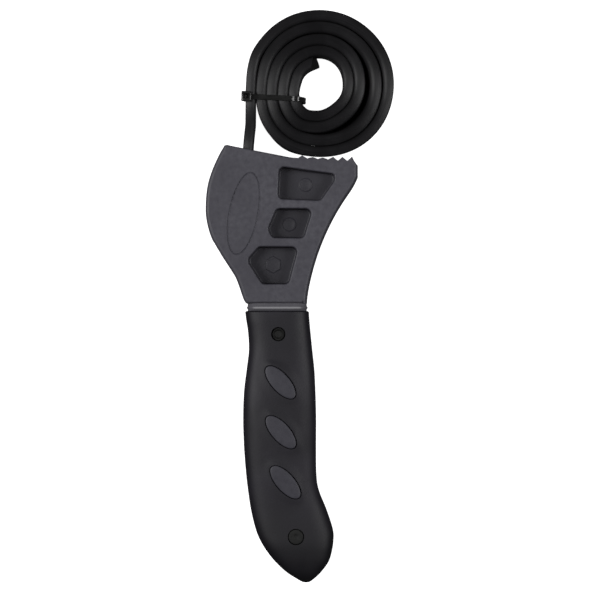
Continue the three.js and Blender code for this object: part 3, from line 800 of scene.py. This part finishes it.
def lip_rise(points):
    """How far the rubber swells beside the pads, most on their upper right."""
    rise = np.zeros(len(points))
    for x, y in PADS.values():
        dx = points[:, 0] - x
        dy = points[:, 1] - y
        along = dx * math.cos(PAD_LEAN) + dy * math.sin(PAD_LEAN)
        across = -dx * math.sin(PAD_LEAN) + dy * math.cos(PAD_LEAN)
        size = np.hypot(along / PAD_HALF[0], across / PAD_HALF[1]) + 1e-6
        away = np.hypot(along, across) * (1 - 1 / size)
        upper_right = smooth_step(across / (PAD_HALF[1] * size), -0.2, 1.0)
        side = LIP_FAR_SHARE + (1 - LIP_FAR_SHARE) * upper_right
        rise = np.maximum(rise, side * (1 - smooth_step(away, 0.2, LIP_REACH)) * (away > -1.5))
    return rise


def grip_mesh():
    shell = Shell()
    sides = 112
    top = GRIP_LINE[0]
    rings = []
    for a in np.linspace(0, math.pi / 2, 5)[:-1]:
        ring = oval_ring(top, sides, GRIP_TOP_EASE * (1 - math.sin(a)))
        ring[:, 1] = top[0] - GRIP_TOP_EASE * (1 - math.cos(a))
        rings.append(ring)
    rings += [oval_ring(row, sides) for row in GRIP_LINE[2:]]
    placed = []
    for ring in rings:
        facing = (ring[:, 2] - MID_Z) / (np.abs(ring[:, 2] - MID_Z).max() + 1e-6)
        swell = lip_rise(ring) * np.abs(facing) ** 1.5 * LIP_HEIGHT
        room = MID_Z - SKIN - np.abs(ring[:, 2] - MID_Z)
        ring[:, 2] += np.sign(facing) * np.minimum(swell, np.maximum(room, 0))
        placed.append(shell.ring(ring))
    shell.stack(placed)
    shell.cap(placed[0])
    shell.fan(placed[-1])
    return shell.mesh("grip")


def grip():
    obj = piece("grip_sleeve_soft", grip_mesh(), SOFT_GRIP)
    cutters = []
    half = (PAD_HALF[0] + PAD_GAP, PAD_HALF[1] + PAD_GAP)
    for centre in PADS.values():
        plan = ellipse(centre, half, PAD_LEAN)
        cutters.append(prism(plan, MID_Z + PAD_HOLE_FLOOR, HEAD_TOP + PAST_FACE))
        cutters.append(prism(plan, -PAST_FACE, MID_Z - PAD_HOLE_FLOOR))
    for node, gap in (("cross_pin_upper", 0.3), ("cross_pin_lower", 0.35)):
        low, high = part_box(node)
        radius = (high[0] - low[0]) / 2 / MM + gap
        plan = ellipse(middle_of(node)[:2], (radius, radius), 0, 48)
        cutters.append(prism(plan, HEAD_TOP - PIN_HOLE_FLOOR, HEAD_TOP + PAST_FACE))
        cutters.append(prism(plan, -PAST_FACE, PIN_HOLE_FLOOR))
    combine(obj, cutters, "DIFFERENCE")
    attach(obj, TOOL)
    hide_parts("grip_sleeve")


def pad(place, face):
    """An oval pad whose top follows the grip, a little crowned, with an eased edge."""
    up = 1 if face == "front" else -1
    centre = PADS[place]
    shell = Shell()
    rings = []
    for share, sink in PAD_PROFILE:
        half = (PAD_HALF[0] - PAD_HALF[1] * (1 - share), PAD_HALF[1] * share)
        plan = ellipse(centre, half, PAD_LEAN, 72)
        crown = PAD_CROWN * (1 - share ** 2)
        height = grip_height(plan[:, 0], plan[:, 1]) - LIP_ROOM + PAD_PROUD + crown - sink
        rings.append(shell.ring([(x, y, MID_Z + up * h) for (x, y), h in zip(plan, height)]))
    foot = ellipse(centre, PAD_HALF, PAD_LEAN, 72)
    rings.append(shell.loop(foot, MID_Z + up * PAD_FOOT))
    shell.stack(rings)
    shell.fan(rings[0])
    shell.cap(rings[-1])
    obj = piece(f"pad_{place}_{face}", shell.mesh("pad"), PAD_NYLON)
    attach(obj, TOOL)
    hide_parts(f"grip_pad_{place}_{face}")


def cross_pin(place, dimple_radius, dimple_depth):
    """A round pin through the grip, with eased ends and a shallow round dimple in each."""
    node = f"cross_pin_{place}"
    low, high = (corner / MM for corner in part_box(node))
    centre = ((low[0] + high[0]) / 2, (low[1] + high[1]) / 2)
    radius = (high[0] - low[0]) / 2
    shell = Shell()
    end = [(dimple_radius * 0.3, -dimple_depth), (dimple_radius * 0.8, -dimple_depth * 0.9),
           (dimple_radius, -dimple_depth * 0.35), (dimple_radius + 0.25, 0), (radius - 0.5, 0),
           (radius - 0.2, -0.08), (radius, -0.4)]
    front = [shell.loop(ellipse(centre, (r, r), 0, 56), high[2] + z) for r, z in end]
    back = [shell.loop(ellipse(centre, (r, r), 0, 56), low[2] - z) for r, z in end[::-1]]
    shell.stack(front + back)
    shell.fan(front[0])
    shell.fan(back[-1])
    obj = piece(f"round_pin_{place}", shell.mesh("pin"), PIN_NYLON)
    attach(obj, TOOL)
    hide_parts(node)


# ---- Strap ----


def slack(turn):
    """How far the two outer layers stand off the third."""
    part = turn % 1
    if turn >= 2 or part <= SLACK_START:
        return 0
    return SLACK * math.sin(math.pi * (part - SLACK_START) / (1 - SLACK_START)) ** 2


def bulge(bulges, part):
    """How far the layers stand out at a part of a turn."""
    return sum(height * math.exp(-((((part - place + 0.5) % 1) - 0.5) / width) ** 2)
               for place, height, width in bulges)


def coil_radius(turn):
    angle = 2 * math.pi * turn
    shift = COIL_SHIFT[0] * math.cos(angle) + COIL_SHIFT[1] * math.sin(angle)
    oval = COIL_OVAL[0] * math.cos(2 * angle) + COIL_OVAL[1] * math.sin(2 * angle)
    part = turn % 1
    inner = smooth_step(turn, *INNER_TURNS)
    shape = (1 - inner) * bulge(OUTER_BULGES, part) + inner * bulge(INNER_BULGES, part)
    near_tie = part - 1 if part > 0.5 else part
    squeeze = 0
    if turn > 0.5:
        depth = TIE_SQUEEZE[0] if turn < 1.5 else TIE_SQUEEZE[1]
        squeeze = depth * math.exp(-((near_tie / TIE_SQUEEZE_TURN) ** 2))
    tuck = bulge(RIGHT_TUCK, part) * smooth_step(turn, *TUCK_TURNS)
    return (COIL_START_RADIUS - SKIN - COIL_PITCH * turn + shift + oval + slack(turn) + shape
            + tuck - squeeze)


def loose_lean(turn):
    """How far the two outer layers lean in below, so that they touch the third one."""
    if turn > 2:
        return 0
    inner = turn + 1 if turn < 1 else turn
    gap = coil_radius(inner) - coil_radius(inner + 1) - STRAP_THICKNESS - 2 * LAYER_SWELL
    return max(0, gap + LEAN_OVERLAP) / LEAN_SHARE * smooth_step(turn, *LEAN_TURNS)


def coil_point(turn):
    angle = math.pi - 2 * math.pi * turn
    radius = coil_radius(turn)
    return (COIL_CENTRE[0] + radius * math.cos(angle), COIL_CENTRE[1] + radius * math.sin(angle))


def strap_line():
    """Points (x, y, turn) of the strap's middle line from its eye to its cut end, and their distances."""
    steps = round((COIL_END_TURN - COIL_FIRST_TURN) / COIL_TURN_STEP)
    turns = np.linspace(COIL_FIRST_TURN, COIL_END_TURN, steps + 1)
    points = [(x, y, 0) for x, y in STRAP_LEAD] + [(*coil_point(turn), turn) for turn in turns]
    return even(spline(points, 8), 1.3)


def coil_bottom(x):
    share = np.clip((x - COIL_TILT_X[0]) / (COIL_TILT_X[1] - COIL_TILT_X[0]), 0, 1)
    return COIL_LIFT + (COIL_REST - COIL_LIFT) * share


def strap_bottom(line):
    drop = smooth_step(line[:, 1], *LEAD_DROP_Y)
    lead = STRAP_BOTTOM_IN_HEAD + (COIL_LIFT - STRAP_BOTTOM_IN_HEAD) * drop
    return np.where(line[:, 2] > 0, coil_bottom(line[:, 0]), lead)


def strap_section():
    """Points round the strap's section as (across, up), with eased corners and crowned edges."""
    half = STRAP_THICKNESS / 2
    side_levels = np.array([0.07, 0.12, 0.25, 0.5, 0.75, 0.88, 0.93]) * STRAP_WIDTH
    edge_places = np.array([0.62, 0.35, 0.05, -0.2, -0.38, -0.54, -0.66]) * half
    corner_steps = 5
    points = []
    for quarter in range(4):
        right = quarter in (0, 3)
        top = quarter in (0, 1)
        x = (half - STRAP_CORNER) * (1 if right else -1)
        z = STRAP_WIDTH - STRAP_CORNER if top else STRAP_CORNER
        for k in range(corner_steps + 1):
            angle = math.pi / 2 * (quarter + k / corner_steps)
            points.append((x + STRAP_CORNER * math.cos(angle), z + STRAP_CORNER * math.sin(angle)))
        if quarter == 0:
            points.extend((place, STRAP_WIDTH) for place in edge_places)
        elif quarter == 1:
            points.extend((-half, level) for level in side_levels[::-1])
        elif quarter == 2:
            points.extend((place, 0) for place in edge_places[::-1])
        else:
            points.extend((half, level) for level in side_levels)
    section = np.array(points)
    share = section[:, 0] / half
    outer_part = np.maximum(0, share - STRAP_RIDGE) / (1 - STRAP_RIDGE)
    inner_part = np.maximum(0, STRAP_RIDGE - share) / (1 + STRAP_RIDGE)
    sink = STRAP_CROWN * outer_part ** STRAP_CROWN_POWER
    sink += STRAP_INNER_FALL * inner_part ** STRAP_INNER_POWER
    section[:, 1] += sink * (1 - 2 * section[:, 1] / STRAP_WIDTH)
    return section


def strap_mesh(name, line, run):
    """The strap along a part of its line, its layers swelling and leaning until they touch."""
    shell = Shell()
    section = strap_section()
    share = section[:, 1] / STRAP_WIDTH
    swell = (1 - (2 * share - 1) ** SWELL_POWER) * section[:, 0] / (STRAP_THICKNESS / 2)
    along, left = directions(line[:, :2])
    bottom = strap_bottom(line)
    outward_share = 0.5 + section[:, 0] / STRAP_THICKNESS
    reach = CUT_REACH[1] + (CUT_REACH[0] - CUT_REACH[1]) * outward_share
    slope = CUT_SLOPE[1] + (CUT_SLOPE[0] - CUT_SLOPE[1]) * outward_share
    around = 2 * (STRAP_WIDTH + STRAP_THICKNESS) * MM / len(section)
    rings = []
    lay = []
    for i, (x, y, turn) in enumerate(line):
        outer = LAYER_SWELL * smooth_step(turn, *OUTWARD_SWELL_TURNS)
        inner = LAYER_SWELL * smooth_step(turn, *INWARD_SWELL_TURNS) * (turn < COIL_END_TURN - 1)
        lean = loose_lean(turn)
        cut = max(0, 1 - (COIL_END_TURN - turn) / CUT_STRETCH)
        across = section[:, 0] + swell * np.where(swell > 0, outer, inner) - lean * (1 - share)
        forward = cut * (reach + slope * (1 - share))
        plan = np.array([x, y]) + across[:, None] * left[i] + forward[:, None] * along[i]
        rings.append(shell.ring([(*p, bottom[i] + z) for p, z in zip(plan, section[:, 1])]))
        lay.extend((run[i] * MM, k * around) for k in range(len(section)))
    shell.closed(rings)
    data = shell.mesh(name)
    layer = data.uv_layers.new(name="along_strap")
    for loop in data.loops:
        layer.data[loop.index].uv = lay[loop.vertex_index]
    cut_face = data.polygons[-1]
    for index in cut_face.loop_indices:
        layer.data[index].uv.y = CUT_MARK * MM
    return data


def strap():
    """The strap in two pieces, which meet under the cable tie."""
    line, run = strap_line()
    split = int(np.argmax(line[:, 1] > TIE_CORNER[1]))
    bend = piece("strap_bare_stretch", strap_mesh("strap_bend", line[:split + 1], run[:split + 1]),
                 STRAP_RUBBER)
    rolled = piece("strap_rolled", strap_mesh("strap_rolled", line[split:], run[split:]), STRAP_RUBBER)
    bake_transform(bend)
    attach(rolled, ROLL)
    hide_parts("strap_root")
    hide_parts("strap_coil")


# ---- Cable tie ----

TIE_CORNER = (-28.1, 101.1)
TIE_SPAN = 29.7
TIE_LEAN = math.radians(-2.8)
TIE_WIDTH = 2.6
TIE_BAND = 1.2
TIE_HEAD = (4.9, 5.0, 3.4)
TIE_HEAD_EASE = 0.35
TIE_HEAD_OVERHANG = 0.5          # how far it stands out past the band
# from the left end of the tie's head, its middle and its foot: opposite corners of a box, and its ease
TIE_MOUTH = ((1.3, -1.2, 0.7), (3.9, 1.3, 6.0), 0.2)
TIE_TAIL = ((1.5, -1.0, 0.5), (2.4, 1.1, 2.2), 0.15)
TIE_ROOM = (0.35, 0.3)           # between the strap and the band, below and above
TIE_CURVE = 1.4                  # the band's bend round the strap's lower edges
# bevel, rim and groove of the band's section
TIE_BEVEL = 0.25
TIE_RIM = 0.75
TIE_GROOVE = (0.95, 0.18)        # where its floor starts from the edge, and its depth
# the band's bend over the coil's inner edge: places along it, and how far below its top it runs
TIE_BEND = [(30.3, 8.0), (29.9, 6.5), (29.4, 5.1), (28.8, 3.8), (28.3, 2.8), (27.8, 1.8), (27.4, 1.0),
            (27.1, 0.58), (26.2, 0.5), (25.4, 0.45), (24.9, 0.4), (24.3, 0.2), (23.7, 0.03), (23.0, 0)]


def tie_band_path():
    """The band's middle line in its own X-Z plane, from under the head round to the head's side."""
    low = COIL_LIFT - TIE_ROOM[0] - TIE_BAND / 2
    high = COIL_LIFT + STRAP_WIDTH + TIE_ROOM[1] + TIE_BAND / 2
    left = -TIE_BAND / 2
    right = TIE_SPAN + TIE_BAND / 2
    points = [(left, high + 0.5), (left, high / 2)]
    for centre_x, start in ((left + TIE_CURVE, 180), (right - TIE_CURVE, 270)):
        for k in range(7):
            angle = math.radians(start + 90 * k / 6)
            points.append((centre_x + TIE_CURVE * math.cos(angle),
                           low + TIE_CURVE + TIE_CURVE * math.sin(angle)))
    points += [(x, high - drop) for x, drop in TIE_BEND]
    points.append((1.5, high))
    return np.array(points)


def tie_band_mesh():
    path, _ = even(tie_band_path(), 0.55)
    _, normal = directions(path)
    edge = TIE_WIDTH / 2
    half = TIE_BAND / 2 - 0.02
    groove, groove_depth = TIE_GROOVE
    right_half = [(edge - TIE_BEVEL, -half), (edge, -half * 0.5), (edge, half * 0.5),
                  (edge - TIE_BEVEL, half), (edge - TIE_RIM, half), (edge - groove, half - groove_depth)]
    left_half = [(-w, h) for w, h in right_half[::-1]]
    section = right_half + left_half
    shell = Shell()
    rings = []
    for (x, z), (nx, nz) in zip(path, normal):
        rings.append(shell.ring([(x - nx * h, w, z - nz * h) for w, h in section]))
    shell.closed(rings)
    return shell.mesh("tie_band")


def eased_box(low, high, ease):
    """A box with eased edges between two opposite corners."""
    shell = Shell()

    def ring(z, inset, cut):
        x0, x1, y0, y1 = low[0] + inset, high[0] - inset, low[1] + inset, high[1] - inset
        return shell.loop([(x1 - cut, y1), (x0 + cut, y1), (x0, y1 - cut), (x0, y0 + cut),
                           (x0 + cut, y0), (x1 - cut, y0), (x1, y0 + cut), (x1, y1 - cut)], z)

    levels = [(low[2], ease), (low[2] + ease * 0.3, ease * 0.3), (low[2] + ease, 0),
              (high[2] - ease, 0), (high[2] - ease * 0.3, ease * 0.3), (high[2], ease)]
    shell.closed([ring(z, inset, ease) for z, inset in levels])
    return shell.mesh("eased_box")


def cable_tie():
    foot = np.array((-TIE_BAND - TIE_HEAD_OVERHANG, 0, COIL_LIFT + STRAP_WIDTH + TIE_ROOM[1]))
    length, width, height = TIE_HEAD
    low = foot - (0, width / 2, 0)
    obj = piece("cable_tie_black", eased_box(low, low + (length, width, height), TIE_HEAD_EASE),
                TIE_NYLON)

    def part(name, box):
        return piece(name, eased_box(foot + box[0], foot + box[1], box[2]))

    combine(obj, [part("mouth", TIE_MOUTH)], "DIFFERENCE")
    combine(obj, [piece("band", tie_band_mesh())], "UNION")
    combine(obj, [part("tail", TIE_TAIL)], "UNION")
    cos, sin = math.cos(TIE_LEAN), math.sin(TIE_LEAN)
    for vertex in obj.data.vertices:
        x, y, z = vertex.co
        vertex.co = (x * cos - y * sin + TIE_CORNER[0] * MM, x * sin + y * cos + TIE_CORNER[1] * MM, z)
    obj.data.materials.clear()
    obj.data.materials.append(TIE_NYLON)
    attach(obj, ROLL)
    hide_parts("cable_tie")


def anchor_pin():
    """The CAD pin, shown as it is in steel."""
    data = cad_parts["anchor_pin"].data
    data.materials.clear()
    data.materials.append(PIN_STEEL)


# ---- Studio ----

# in metres, except the sensor and the light
CAMERA_PLANE = 0.018             # height at which the view is VIEW_WIDTH across
CAMERA_DISTANCE = 1.35
VIEW_WIDTH = 0.303
VIEW_CENTRE = (-0.00025, -0.00162)
SENSOR_MM = 36
FLOOR_DROP = 0.0002              # keeps the floor clear of the head's back
WORLD_LIGHT = 0.04


def camera():
    data = bpy.data.cameras.new("camera")
    data.sensor_width = SENSOR_MM
    data.lens = SENSOR_MM * CAMERA_DISTANCE / VIEW_WIDTH
    data.clip_start = 0.05
    data.clip_end = 20
    obj = bpy.data.objects.new("camera", data)
    obj.location = (*VIEW_CENTRE, CAMERA_PLANE + CAMERA_DISTANCE)
    bpy.context.scene.collection.objects.link(obj)
    bpy.context.scene.camera = obj


def soft_box(name, place, target, size, power):
    data = bpy.data.lights.new(name, "AREA")
    data.shape = "RECTANGLE"
    data.size, data.size_y = size
    data.energy = power
    obj = bpy.data.objects.new(name, data)
    obj.location = place
    obj.rotation_euler = (Vector(target) - Vector(place)).to_track_quat("-Z", "Y").to_euler()
    obj.visible_camera = False
    bpy.context.scene.collection.objects.link(obj)


def studio():
    bpy.ops.mesh.primitive_grid_add(x_subdivisions=2, y_subdivisions=2, size=8)
    floor = bpy.context.object
    floor.name = "floor"
    floor.location.z = -FLOOR_DROP
    floor.data.materials.append(pale_floor())
    floor.visible_diffuse = False
    floor.visible_glossy = False
    middle = (0, 0, 0.01)
    soft_box("light_left", (-0.9, 0.14, 1.0), middle, (0.4, 1.0), 9.6)
    soft_box("light_right", (0.9, 0.06, 0.95), middle, (0.4, 0.9), 6.2)
    world = bpy.data.worlds.new("studio")
    bpy.context.scene.world = world
    world.use_nodes = True
    tree = world.node_tree
    background = tree.nodes["Background"]
    seen = tree.nodes.new("ShaderNodeLightPath")
    level = tree.nodes.new("ShaderNodeMapRange")
    level.inputs["To Min"].default_value = WORLD_LIGHT
    level.inputs["To Max"].default_value = 1.0
    tree.links.new(seen.outputs["Is Camera Ray"], level.inputs["Value"])
    tree.links.new(level.outputs["Result"], background.inputs["Strength"])
    background.inputs["Color"].default_value = (1, 1, 1, 1)
    bpy.context.scene.view_settings.view_transform = "Standard"
    bpy.context.scene.view_settings.look = "None"


# ---- Put together ----

camera()
head()
collar()
grip()
for pad_place in PADS:
    for pad_face in ("front", "back"):
        pad(pad_place, pad_face)
cross_pin("upper", dimple_radius=2.2, dimple_depth=0.9)
cross_pin("lower", dimple_radius=1.2, dimple_depth=0.25)
strap()
cable_tie()
anchor_pin()
studio()
